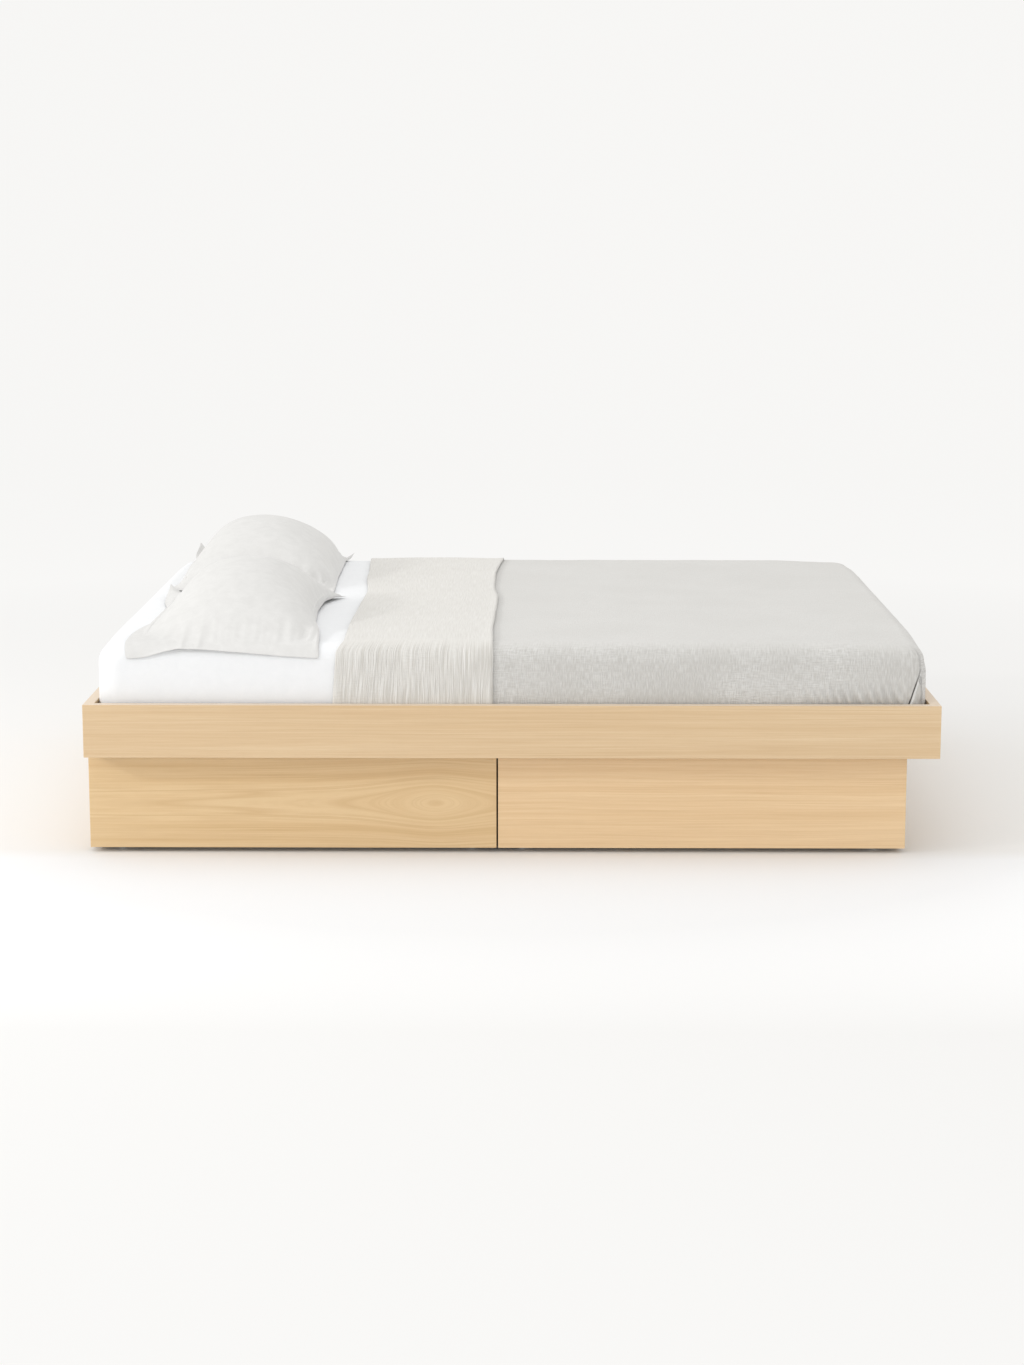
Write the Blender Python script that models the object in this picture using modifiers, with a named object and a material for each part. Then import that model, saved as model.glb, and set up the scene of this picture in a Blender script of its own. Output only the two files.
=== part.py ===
"""Platform bed with two storage drawers on castors, made up with a mattress, a blanket and two pillows.

Metres, +Z up. The head is at -X, the foot at +X, and the drawers open towards -Y.
The origin is on the floor under the middle of the bed.
"""

import math

import bmesh
import bpy
from mathutils import Vector

# Driving dimensions
BED_LENGTH = 2.060
BED_WIDTH = 1.660
RAIL_TOP = 0.378
RAIL_HEIGHT = 0.129
RAIL_THICKNESS = 0.025
GAP = 0.0004  # between pieces that touch
EDGE = 0.0010  # rounding of the boards' edges

# Base and drawer fronts, under the rails
BASE_LENGTH = 1.990  # from the head end, so the foot rail overhangs the base
BASE_SETBACK = 0.065  # from the side rails' outer faces
BASE_PANEL = 0.022
DIVIDER_SETBACK = 0.007  # from the back of the drawer fronts
BACK_PANEL = 0.018

# Slats and what carries them
SLAT_COUNT = 13
SLAT_WIDTH = 0.090
SLAT_THICKNESS = 0.018
SLAT_TOP = 0.314
SLAT_FIELD = 1.916  # length of bed that the slats are spread over
LEDGE_WIDTH = 0.085
LEDGE_HEIGHT = 0.030
BEAM_WIDTH = 0.060

# Levelling feet under the cross panels
FOOT_HEIGHT = 0.012
FOOT_PAD_RADIUS = 0.011
FOOT_PAD_HEIGHT = 0.005
FOOT_NECK_RADIUS = 0.005
FOOT_FROM_END = 0.095  # of a cross panel

# Drawers
FRONT_THICKNESS = 0.018
FRONT_BOTTOM = 0.012
FRONT_TOP = 0.2455
FRONT_SPACING = 0.004  # between the two drawer fronts
BOX_CLEARANCE = 0.008  # beside each drawer box
BOX_DEPTH = 0.680
BOX_BOTTOM = 0.0470
BOX_TOP = 0.205
BOARD = 0.015
BOTTOM_BOARD = 0.012

# Castors
WHEEL_RADIUS = 0.019
WHEEL_WIDTH = 0.014
BORE_RADIUS = 0.0030
PIN_RADIUS = 0.0025
FORK_PLATE = 0.0025
FORK_LENGTH = 0.040
FORK_WIDTH = 0.034
FORK_INSIDE = 0.016
CASTOR_FROM_SIDE = 0.0425  # axle's middle, from the side of the drawer box
CASTOR_FROM_FRONT = 0.048  # axle, from the outer face of the drawer front
CASTOR_FROM_BACK = 0.060

# Soft goods
MATTRESS_SIZE = Vector((1.985, 1.585, 0.1985))
MATTRESS_EDGE = 0.030
BLANKET_HEAD_X = -0.422
FOLD_END_X = -0.049
BLANKET_THICKNESS = 0.0040
FOLD_THICKNESS = 0.0035
BLANKET_BOTTOM = 0.330
BLANKET_GAP = 0.0005
PILLOW_SIZE = Vector((0.46, 0.68, 0.185))
PILLOW_CENTRES = {"pillow_front": (-0.685, -0.440), "pillow_back": (-0.710, 0.415)}

# Derived places
HEAD_X = -BED_LENGTH / 2
FOOT_X = BED_LENGTH / 2
FRONT_Y = -BED_WIDTH / 2
RAIL_BOTTOM = RAIL_TOP - RAIL_HEIGHT
INNER_X = BED_LENGTH / 2 - RAIL_THICKNESS
INNER_Y = BED_WIDTH / 2 - RAIL_THICKNESS
BASE_FOOT_X = HEAD_X + BASE_LENGTH
BASE_MIDDLE_X = HEAD_X + BASE_LENGTH / 2
BASE_FRONT_Y = FRONT_Y + BASE_SETBACK
BASE_BACK_Y = -BASE_FRONT_Y
FRONT_BACK_Y = BASE_FRONT_Y + FRONT_THICKNESS
PANEL_FRONT_Y = FRONT_BACK_Y + DIVIDER_SETBACK
PANEL_BACK_Y = BASE_BACK_Y - BACK_PANEL - GAP
LEDGE_TOP = SLAT_TOP - SLAT_THICKNESS - GAP
LEDGE_BOTTOM = LEDGE_TOP - LEDGE_HEIGHT
MATTRESS_BOTTOM = SLAT_TOP + GAP
MATTRESS_TOP = MATTRESS_BOTTOM + MATTRESS_SIZE.z

COLOURS = {
    "oak_veneer": ((0.730, 0.520, 0.310), 0.55, 0.0),
    "pine": ((0.760, 0.610, 0.420), 0.60, 0.0),
    "plywood": ((0.780, 0.650, 0.470), 0.55, 0.0),
    "steel": ((0.560, 0.560, 0.570), 0.35, 1.0),
    "wheel": ((0.720, 0.720, 0.710), 0.45, 0.0),
    "foot": ((0.055, 0.055, 0.055), 0.60, 0.0),
    "sheet": ((0.870, 0.870, 0.870), 0.90, 0.0),
    "muslin": ((0.640, 0.630, 0.600), 0.95, 0.0),
    "pillow_case": ((0.790, 0.785, 0.760), 0.90, 0.0),
}


def clear_scene():
    for obj in list(bpy.data.objects):
        bpy.data.objects.remove(obj, do_unlink=True)


def new_collection(name):
    collection = bpy.data.collections.new(name)
    bpy.context.scene.collection.children.link(collection)
    return collection


def material(slot):
    """The Principled material of that slot, made on first use."""
    found = bpy.data.materials.get(slot)
    if found:
        return found
    colour, roughness, metallic = COLOURS[slot]
    made = bpy.data.materials.new(slot)
    made.use_nodes = True
    shader = made.node_tree.nodes["Principled BSDF"]
    shader.inputs["Base Color"].default_value = (*colour, 1.0)
    shader.inputs["Roughness"].default_value = roughness
    shader.inputs["Metallic"].default_value = metallic
    return made


def add_mesh(name, mesh, slot, collection, location=(0, 0, 0), parent=None):
    obj = bpy.data.objects.new(name, mesh)
    if slot:
        mesh.materials.append(material(slot))
    obj.location = location
    obj.parent = parent
    collection.objects.link(obj)
    return obj


def box_mesh(name, size):
    """A box centred on its own origin."""
    mesh = bpy.data.meshes.new(name)
    shape = bmesh.new()
    bmesh.ops.create_cube(shape, size=1.0)
    bmesh.ops.scale(shape, vec=size, verts=shape.verts)
    shape.to_mesh(mesh)
    shape.free()
    return mesh


def add_box(name, low, high, slot, parent=None, edge=EDGE, segments=2, collection=None):
    """A box between two world corners, its edges rounded. Its parent, if any, stands unrotated."""
    low, high = Vector(low), Vector(high)
    centre = (low + high) / 2
    if parent:
        centre -= parent.location
    obj = add_mesh(name, box_mesh(name, high - low), slot, collection or PARTS, centre, parent)
    if edge:
        rounding = obj.modifiers.new("edges", "BEVEL")
        rounding.width = edge
        rounding.segments = segments
    return obj


def add_cutter(name, low, high, parent=None):
    return add_box(name, low, high, None, parent, 0, 1, CUTTERS)


def cut_with(obj, cutter, operation="DIFFERENCE"):
    cutter.hide_render = True
    cutter.display_type = "WIRE"
    step = obj.modifiers.new(cutter.name, "BOOLEAN")
    step.operation = operation
    step.object = cutter
    step.solver = "EXACT"


def add_empty(name, location):
    empty = bpy.data.objects.new(name, None)
    empty.location = location
    empty.empty_display_size = 0.05
    PARTS.objects.link(empty)
    return empty


def add_rails():
    """Side rails run the full length, and the end rails fit between them."""
    end_y = INNER_Y - GAP
    for name, low_y, high_y in (("front", FRONT_Y, -INNER_Y), ("back", INNER_Y, -FRONT_Y)):
        add_box(f"side_rail_{name}", (HEAD_X, low_y, RAIL_BOTTOM), (FOOT_X, high_y, RAIL_TOP), "oak_veneer")
    add_box("head_rail", (HEAD_X, -end_y, RAIL_BOTTOM), (-INNER_X, end_y, RAIL_TOP), "oak_veneer")
    add_box("foot_rail", (INNER_X, -end_y, RAIL_BOTTOM), (FOOT_X, end_y, RAIL_TOP), "oak_veneer")


def add_slat_support():
    ledge_end = SLAT_FIELD / 2
    inner = INNER_Y - LEDGE_WIDTH
    outer = INNER_Y - GAP
    for name, low_y, high_y in (("front", -outer, -inner), ("back", inner, outer)):
        low = (-ledge_end, low_y, LEDGE_BOTTOM)
        add_box(f"slat_ledge_{name}", low, (ledge_end, high_y, LEDGE_TOP), "pine")
    beam_end = INNER_X - GAP
    half = BEAM_WIDTH / 2
    add_box("centre_beam", (-beam_end, -half, LEDGE_BOTTOM), (beam_end, half, LEDGE_TOP), "steel", edge=0.004)


def add_slats():
    pitch = (SLAT_FIELD - SLAT_WIDTH) / (SLAT_COUNT - 1)
    end_y = INNER_Y - 0.002
    for index in range(SLAT_COUNT):
        low_x = -SLAT_FIELD / 2 + index * pitch
        low = (low_x, -end_y, SLAT_TOP - SLAT_THICKNESS)
        high = (low_x + SLAT_WIDTH, end_y, SLAT_TOP)
        add_box(f"slat_{index + 1:02d}", low, high, "pine", edge=0.003, segments=1)


def turned_about(obj, axis, steps):
    """Makes a Screw of the object's profile, a full turn about its own axis."""
    turned = obj.modifiers.new("turned", "SCREW")
    turned.axis = axis
    turned.steps = steps
    turned.render_steps = steps
    turned.use_merge_vertices = True
    turned.merge_threshold = 0.0001
    turned.use_smooth_shade = True


def profile_mesh(name, points, closed):
    """An outline in the XZ plane, for turning."""
    shape = bmesh.new()
    verts = [shape.verts.new((x, 0, z)) for x, z in points]
    ends = verts[1:] + verts[:1] if closed else verts[1:]
    for first, second in zip(verts, ends):
        shape.edges.new((first, second))
    mesh = bpy.data.meshes.new(name)
    shape.to_mesh(mesh)
    shape.free()
    return mesh


def add_foot(name, x, y):
    """A levelling foot: a pad on the floor and a neck up to the panel."""
    top = FOOT_HEIGHT - GAP
    rim = 0.001
    profile = [
        (0, top),
        (FOOT_NECK_RADIUS, top),
        (FOOT_NECK_RADIUS, FOOT_PAD_HEIGHT),
        (FOOT_PAD_RADIUS - rim, FOOT_PAD_HEIGHT),
        (FOOT_PAD_RADIUS, FOOT_PAD_HEIGHT - rim),
        (FOOT_PAD_RADIUS, 0),
        (0, 0),
    ]
    obj = add_mesh(name, profile_mesh(name, profile, False), "foot", PARTS, (x, y, 0))
    turned_about(obj, "Z", 20)


def add_base():
    """Three cross panels on feet, with a back panel over their ends. The head one is under the head rail."""
    panels = (
        ("head_panel", HEAD_X, RAIL_BOTTOM - GAP),
        ("divider", BASE_MIDDLE_X - BASE_PANEL / 2, LEDGE_BOTTOM - GAP),
        ("foot_panel", BASE_FOOT_X - BASE_PANEL, LEDGE_BOTTOM - GAP),
    )
    for name, low_x, top in panels:
        low = (low_x, PANEL_FRONT_Y, FOOT_HEIGHT)
        add_box(f"base_{name}", low, (low_x + BASE_PANEL, PANEL_BACK_Y, top), "oak_veneer")
        middle_x = low_x + BASE_PANEL / 2
        add_foot(f"{name}_glide_front", middle_x, PANEL_FRONT_Y + FOOT_FROM_END)
        add_foot(f"{name}_glide_back", middle_x, PANEL_BACK_Y - FOOT_FROM_END)
    low = (HEAD_X, BASE_BACK_Y - BACK_PANEL, FOOT_HEIGHT)
    add_box("base_back_panel", low, (BASE_FOOT_X, BASE_BACK_Y, RAIL_BOTTOM - 0.003), "oak_veneer")


def wheel_mesh(name):
    """A turned wheel about X: a rounded tread, a recessed web and a hub with the bore."""
    half = WHEEL_WIDTH / 2
    rim = WHEEL_RADIUS - 0.004
    hub = BORE_RADIUS + 0.003
    tread_round = 0.0025
    profile = [(-half, BORE_RADIUS), (-half, hub), (-half + 0.003, hub + 0.001), (-half + 0.003, rim - 0.001)]
    profile += [(-half, rim)]
    for step in range(3):
        turn = math.pi / 2 * step / 2
        profile.append(
            (
                -half + tread_round * (1 - math.cos(turn)),
                WHEEL_RADIUS - tread_round * (1 - math.sin(turn)),
            )
        )
    profile += [(-x, r) for x, r in reversed(profile)]
    return profile_mesh(name, profile[::-1], True)


def add_wheel(name, centre, parent):
    obj = add_mesh(name, wheel_mesh(name), "wheel", PARTS, Vector(centre) - parent.location, parent)
    turned_about(obj, "X", 20)


def add_fork(name, centre, parent):
    """A castor's fork: a top plate, two cheeks beside the wheel and the axle pin through them."""
    x, y, z = centre
    plate_top = BOX_BOTTOM - GAP
    plate_low = plate_top - FORK_PLATE
    low = (x - FORK_WIDTH / 2, y - FORK_LENGTH / 2, plate_low)
    high = (x + FORK_WIDTH / 2, y + FORK_LENGTH / 2, plate_top)
    plate = add_box(name, low, high, "steel", parent, edge=0)
    for side in (-1, 1):
        inner = FORK_INSIDE / 2
        outer = inner + FORK_PLATE
        low_x, high_x = sorted((x + side * inner, x + side * outer))
        cheek_low = (low_x, y - 0.009, z - 0.007)
        cheek_high = (high_x, y + 0.009, plate_low + 0.001)
        cheek = add_cutter(f"{name}_cheek_{side}", cheek_low, cheek_high, parent)
        cut_with(plate, cheek, "UNION")
    pin_mesh = bpy.data.meshes.new(f"{name}_pin")
    shape = bmesh.new()
    length = FORK_INSIDE + 2 * FORK_PLATE + 0.003
    bmesh.ops.create_cone(
        shape, cap_ends=True, segments=12, radius1=PIN_RADIUS, radius2=PIN_RADIUS, depth=length
    )
    turn_to_x = Vector((0, 0, 1)).rotation_difference(Vector((1, 0, 0))).to_matrix()
    bmesh.ops.rotate(shape, verts=shape.verts, matrix=turn_to_x)
    shape.to_mesh(pin_mesh)
    shape.free()
    pin = add_mesh(f"{name}_pin", pin_mesh, None, CUTTERS, Vector(centre) - parent.location, parent)
    cut_with(plate, pin, "UNION")


def add_drawer(side, front_low_x, front_high_x, bay_low_x, bay_high_x):
    """One drawer: a front that covers its bay, a box behind it, and four castors under the bottom."""
    name = f"drawer_{side}"
    slide = add_empty(name, ((bay_low_x + bay_high_x) / 2, BASE_FRONT_Y, 0))
    low_x = bay_low_x + BOX_CLEARANCE
    high_x = bay_high_x - BOX_CLEARANCE
    box_y = FRONT_BACK_Y + GAP
    end_y = box_y + BOX_DEPTH
    low = (front_low_x, BASE_FRONT_Y, FRONT_BOTTOM)
    add_box(f"{name}_front", low, (front_high_x, FRONT_BACK_Y, FRONT_TOP), "oak_veneer", slide)
    floor_top = BOX_BOTTOM + BOTTOM_BOARD
    add_box(f"{name}_bottom", (low_x, box_y, BOX_BOTTOM), (high_x, end_y, floor_top), "plywood", slide)
    wall_low = floor_top + GAP
    for end, x in (("head", low_x), ("foot", high_x - BOARD)):
        add_box(f"{name}_side_{end}", (x, box_y, wall_low), (x + BOARD, end_y, BOX_TOP), "plywood", slide)
    back_low = (low_x + BOARD + GAP, end_y - BOARD, wall_low)
    add_box(f"{name}_back", back_low, (high_x - BOARD - GAP, end_y, BOX_TOP), "plywood", slide)
    for row, y in (("front", BASE_FRONT_Y + CASTOR_FROM_FRONT), ("back", end_y - CASTOR_FROM_BACK)):
        for end, x in (("head", low_x + CASTOR_FROM_SIDE), ("foot", high_x - CASTOR_FROM_SIDE)):
            centre = (x, y, WHEEL_RADIUS)
            add_fork(f"castor_fork_{side}_{row}_{end}", centre, slide)
            add_wheel(f"castor_wheel_{side}_{row}_{end}", centre, slide)


def add_drawers():
    half_panel = BASE_PANEL / 2
    half_gap = FRONT_SPACING / 2
    add_drawer(
        "head",
        HEAD_X,
        BASE_MIDDLE_X - half_gap,
        HEAD_X + BASE_PANEL,
        BASE_MIDDLE_X - half_panel,
    )
    add_drawer(
        "foot",
        BASE_MIDDLE_X + half_gap,
        BASE_FOOT_X,
        BASE_MIDDLE_X + half_panel,
        BASE_FOOT_X - BASE_PANEL,
    )


def add_mattress():
    half = MATTRESS_SIZE / 2
    low = (-half.x, -half.y, MATTRESS_BOTTOM)
    add_box("mattress", low, (half.x, half.y, MATTRESS_TOP), "sheet", None, MATTRESS_EDGE, 4)


def hood_cutter(name, head_x, grown, bottom):
    """The box that a hood over the mattress fills, its sides grown by that much."""
    half = MATTRESS_SIZE / 2
    low = (head_x, -half.y - grown, bottom)
    high = (half.x + grown, half.y + grown, MATTRESS_TOP + grown)
    edge = MATTRESS_EDGE + grown
    hood = add_box(name, low, high, "muslin", None, edge, 4)
    return hood


def add_blanket():
    """A skin over the mattress, tucked down inside the rails, thicker where it is folded back."""
    outer = BLANKET_GAP + BLANKET_THICKNESS
    blanket = hood_cutter("blanket", BLANKET_HEAD_X - 0.1, outer, BLANKET_BOTTOM - 0.1)
    fold = hood_cutter("blanket_fold", BLANKET_HEAD_X - 0.1, outer + FOLD_THICKNESS, BLANKET_BOTTOM - 0.1)
    inside = hood_cutter("blanket_inside", BLANKET_HEAD_X - 0.3, BLANKET_GAP, BLANKET_BOTTOM - 0.3)
    far = 2.0
    fold_trim = add_cutter("fold_trim", (FOLD_END_X, -far, -far), (far, far, far))
    head_trim = add_cutter("head_trim", (-far, -far, -far), (BLANKET_HEAD_X, far, far))
    low_trim = add_cutter("low_trim", (-far, -far, -far), (far, far, BLANKET_BOTTOM))
    for helper in (fold, inside):
        PARTS.objects.unlink(helper)
        CUTTERS.objects.link(helper)
    cut_with(fold, fold_trim)
    cut_with(blanket, fold, "UNION")
    for cutter in (inside, head_trim, low_trim):
        cut_with(blanket, cutter)


def add_pillow(name, centre):
    """A plump cushion with thin corners, from a coarse cage."""
    mesh = bpy.data.meshes.new(name)
    shape = bmesh.new()
    bmesh.ops.create_cube(shape, size=2.0)
    bmesh.ops.subdivide_edges(shape, edges=shape.edges, cuts=2, use_grid_fill=True)
    for vert in shape.verts:
        rim = max(abs(vert.co.x), abs(vert.co.y))
        corner = abs(vert.co.x) > 0.9 and abs(vert.co.y) > 0.9
        if rim > 0.9:
            vert.co.z *= 0.15 if corner else 0.35
        lift = 0.78 if vert.co.z < 0 else 1.0
        half = PILLOW_SIZE / 2
        vert.co = Vector((vert.co.x * half.x, vert.co.y * half.y, vert.co.z * half.z * lift * 1.1))
    shape.to_mesh(mesh)
    shape.free()
    lowest = PILLOW_SIZE.z / 2 * 0.78 * 1.1
    location = (*centre, MATTRESS_TOP + BLANKET_GAP + lowest)
    obj = add_mesh(name, mesh, "pillow_case", PARTS, location)
    smooth = obj.modifiers.new("smooth", "SUBSURF")
    smooth.levels = 2
    smooth.render_levels = 2
    mesh.shade_smooth()


clear_scene()
PARTS = new_collection("platform_bed")
CUTTERS = new_collection("cutters")
add_rails()
add_slat_support()
add_slats()
add_base()
add_drawers()
add_mattress()
add_blanket()
for pillow_name, pillow_centre in PILLOW_CENTRES.items():
    add_pillow(pillow_name, pillow_centre)
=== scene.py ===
"""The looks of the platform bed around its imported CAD: wood, bedding, floor, light and camera.

The pillows are two flat cases that a small cloth solver below fills and lets settle on the mattress.
The sheet and the blanket are grids of cloth laid over the mattress's own shape.
"""

import math
from functools import partial

import bmesh
import bpy
import numpy as np
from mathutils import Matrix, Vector, noise


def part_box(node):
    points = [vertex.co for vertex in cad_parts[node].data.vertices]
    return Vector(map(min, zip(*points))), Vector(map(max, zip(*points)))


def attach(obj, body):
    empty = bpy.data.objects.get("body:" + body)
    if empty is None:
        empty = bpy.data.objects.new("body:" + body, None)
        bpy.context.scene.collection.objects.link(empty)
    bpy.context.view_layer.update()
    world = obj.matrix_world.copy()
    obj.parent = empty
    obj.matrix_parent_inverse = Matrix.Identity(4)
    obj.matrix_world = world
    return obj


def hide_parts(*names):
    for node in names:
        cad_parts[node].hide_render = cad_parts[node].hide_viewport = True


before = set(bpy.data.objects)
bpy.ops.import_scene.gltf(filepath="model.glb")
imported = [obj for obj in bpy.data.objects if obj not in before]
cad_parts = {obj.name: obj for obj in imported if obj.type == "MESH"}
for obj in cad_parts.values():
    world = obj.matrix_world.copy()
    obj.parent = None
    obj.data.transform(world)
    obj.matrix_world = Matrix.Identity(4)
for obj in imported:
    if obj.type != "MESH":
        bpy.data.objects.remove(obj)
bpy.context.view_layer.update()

# Places that come from the CAD
MATTRESS_LOW, MATTRESS_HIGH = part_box("mattress")
RAIL_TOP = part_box("side_rail_front")[1].z
RAIL_FACE_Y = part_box("side_rail_front")[0].y
BLANKET_LOW_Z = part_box("blanket")[0].z

# The mattress's shape, in metres
TOP_ROUND = 0.037  # radius of its top edge
PLAN_ROUND = 0.055  # radius of its corners seen from above
CROWN = 0.009  # how much its middle stands up
SIDE_DROP = 0.005  # how much lower its top is at the sides, at the foot, and more at the foot's corners
FOOT_DROP = 0.002
CORNER_DROP = 0.007
REACH_X = MATTRESS_HIGH.x - TOP_ROUND  # where its flat top ends
REACH_Y = MATTRESS_HIGH.y - TOP_ROUND

# The fitted sheet, in metres
SHEET_THICKNESS = 0.0006
SHEET_RISE = 0.0018  # its middle surface, over the mattress
SKIRT = MATTRESS_HIGH.z - MATTRESS_LOW.z - 0.020  # its length down the mattress's sides
HEAD_BULGE = 0.0072  # how far its head end stands out, low down

# The blanket, in metres
MUSLIN = 0.0014  # its thickness
BLANKET_RISE = SHEET_RISE + 0.0026  # its middle surface, over the mattress
ROLL = 0.0022  # radius of the roll where its head end folds back
ROLL_PARTS = 6  # rows of the grid round the roll
FOLD_WIDTH = 0.373  # of the part that is folded back
FOLD_X = -0.40  # the fold's mean place along the bed
GATHERS_FROM = 0.62  # where along the bed its grid gets finer, and finer again for its corners
CORNER_FROM = 0.935
FLAP_X = 0.9585  # the folded corner's edge at the rail's top, and how much it slants with height
FLAP_SLANT = 0.36
FLAP_RAISED = 0.0046  # how far it stands up, and how deep the groove beside it is
FLAP_GROOVE = 0.0030
GATHER_PITCH = 0.024  # of the puckers above the rail near the foot
GATHER_DEPTH = 0.0090
# (place across the bed and down its sides, x) rows of the fold and of the free edge of the folded part
FOLD_LINE = (
    (-0.80, -0.420),
    (-0.76, -0.402),
    (-0.50, -0.403),
    (-0.28, -0.399),
    (0.02, -0.395),
    (0.38, -0.414),
    (0.80, -0.428),
)
FREE_EDGE = (
    (-0.80, -0.044),
    (-0.62, -0.047),
    (-0.43, -0.044),
    (-0.10, -0.041),
    (0.12, -0.053),
    (0.34, -0.053),
    (0.80, -0.035),
)

# The pillows, in metres, with pushes and weights in their solver's own units
PILLOW_STEP = 0.0088  # grid of the cases
PILLOW_STEPS = 150  # time steps
PILLOW_TICK = 1 / 60
PILLOW_DRAG = 0.90  # share of the speed kept at each step
PILLOW_PASSES = 3  # passes over the springs at each step
FILL_STEPS = 30  # steps in which the filling's push grows
LAY_STEPS = 40  # steps in which the hems laid by hand come to their places
PILLOW_PUSH = 0.90
PILLOW_WEIGHT = 0.26
HEM_WEIGHT = 0.95
HEM_WIDTH = 0.022
HEM_THICKNESS = 0.0013
PILLOW_REST = 0.0054  # a case's middle surface, over the mattress
PILLOW_FRICTION = 0.35
PILLOW_START_Z = MATTRESS_HIGH.z + 0.045
# (share of its length, x, y, z) rows of each hem that is laid by hand
FRONT_SIDE_HEM = (
    (0.00, -0.926, -0.799, 0.484),
    (0.10, -0.882, -0.800, 0.488),
    (0.20, -0.834, -0.801, 0.503),
    (0.27, -0.803, -0.801, 0.510),
    (0.40, -0.743, -0.801, 0.508),
    (0.61, -0.644, -0.801, 0.500),
    (0.82, -0.546, -0.800, 0.491),
    (1.00, -0.462, -0.799, 0.486),
)
FRONT_FOOT_HEM = (
    (0.00, -0.463, -0.790, 0.500),
    (0.08, -0.466, -0.740, 0.515),
    (0.36, -0.492, -0.525, 0.520),
    (0.63, -0.503, -0.320, 0.528),
    (0.84, -0.499, -0.150, 0.530),
    (0.92, -0.480, -0.090, 0.531),
    (1.00, -0.447, -0.048, 0.529),
)
BACK_SIDE_HEM = (
    (0.00, -0.925, 0.070, 0.500),
    (1.00, -0.487, 0.050, 0.500),
)
BACK_FOOT_HEM = (
    (0.00, -0.488, 0.060, 0.500),
    (0.36, -0.497, 0.315, 0.520),
    (0.64, -0.499, 0.530, 0.528),
    (0.90, -0.500, 0.725, 0.531),
    (1.00, -0.480, 0.797, 0.541),
)
# slack is how far in the case stays thin from its head, foot, near and far sides, as shares of its half size
PILLOWS = (
    {
        "name": "linen_pillow_front",
        "size": (0.490, 0.755),
        "centre": (-0.690, -0.4225),
        "slack": (0.72, 0.22, 0.85, 0.35),
        "side_hem": FRONT_SIDE_HEM,
        "foot_hem": FRONT_FOOT_HEM,
        "far_corner": (-0.926, -0.005, 0.560),
        "seed": 3,
    },
    {
        "name": "linen_pillow_back",
        "size": (0.490, 0.745),
        "centre": (-0.716, 0.4225),
        "slack": (0.40, 0.20, 0.35, 0.30),
        "side_hem": BACK_SIDE_HEM,
        "foot_hem": BACK_FOOT_HEM,
        "far_corner": (-0.942, 0.785, 0.575),
        "seed": 5,
    },
)

# The studio, in metres: the floor's near edge, where it starts to curve up, and the backdrop's size
FLOOR_NEAR_Y = -14.0
CURVE_FROM_Y = 9.0
CURVE_RADIUS = 3.0
CURVE_PARTS = 12
BACKDROP_TOP = 14.0
FLOOR_HALF_WIDTH = 22.0

# ---------------------------------------------------------------- materials
class Graph:
    """A material's node tree, built a node at a time."""

    def __init__(self, name):
        self.material = bpy.data.materials.new(name)
        self.material.use_nodes = True
        self.tree = self.material.node_tree
        self.shader = self.tree.nodes["Principled BSDF"]

    def add(self, kind, links=None, values=None, **settings):
        node = self.tree.nodes.new(f"ShaderNode{kind}")
        for key, value in settings.items():
            setattr(node, key, value)
        for key, value in (values or {}).items():
            node.inputs[key].default_value = value
        for key, socket in (links or {}).items():
            self.tree.links.new(socket, node.inputs[key])
        return node

    def math(self, operation, first, second=None, third=None):
        node = self.add("Math", operation=operation)
        for place, value in enumerate((first, second, third)):
            if value is None:
                continue
            if isinstance(value, (int, float)):
                node.inputs[place].default_value = value
            else:
                self.tree.links.new(value, node.inputs[place])
        return node.outputs[0]

    def scaled(self, vector, scale, shift=(0, 0, 0)):
        return self.add("Mapping", {"Vector": vector}, {"Scale": scale, "Location": shift}).outputs[0]

    def noise(self, vector, scale=1.0, detail=2.0, roughness=0.5, distortion=0.0):
        values = {"Scale": scale, "Detail": detail, "Roughness": roughness, "Distortion": distortion}
        return self.add("TexNoise", {"Vector": vector}, values).outputs[0]

    def between(self, value, low, high, to_low=0.0, to_high=1.0):
        values = {"From Min": low, "From Max": high, "To Min": to_low, "To Max": to_high}
        return self.add("MapRange", {"Value": value}, values).outputs[0]

    def mix(self, factor, first, second, blend="MIX"):
        """A colour mix. Each colour is a tuple or a socket."""
        node = self.add("Mix", data_type="RGBA", blend_type=blend)
        for key, value in ((0, factor), (6, first), (7, second)):
            if isinstance(value, (tuple, float, int)):
                node.inputs[key].default_value = (*value, 1.0) if isinstance(value, tuple) else value
            else:
                self.tree.links.new(value, node.inputs[key])
        return node.outputs[2]

    def bump(self, height, strength, distance, normal=None):
        links = {"Height": height}
        if normal:
            links["Normal"] = normal
        return self.add("Bump", links, {"Strength": strength, "Distance": distance}).outputs[0]

    def finish(self, colour=None, roughness=None, normal=None, **values):
        for key, value in (("Base Color", colour), ("Roughness", roughness), ("Normal", normal)):
            if value is None:
                continue
            if isinstance(value, (tuple, float, int)):
                self.shader.inputs[key].default_value = (*value, 1.0) if isinstance(value, tuple) else value
            else:
                self.tree.links.new(value, self.shader.inputs[key])
        for key, value in values.items():
            self.shader.inputs[key.replace("_", " ")].default_value = value
        return self.material


OAK_LIGHT = (0.790, 0.590, 0.368)
OAK_MID = (0.730, 0.522, 0.306)
OAK_DARK = (0.610, 0.405, 0.215)
# Painted sheen: a paler, pinker tone that up-facing oak faces take, as the tops catch the light.
UP_FACE_SHEEN = (0.740, 0.640, 0.530)


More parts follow.
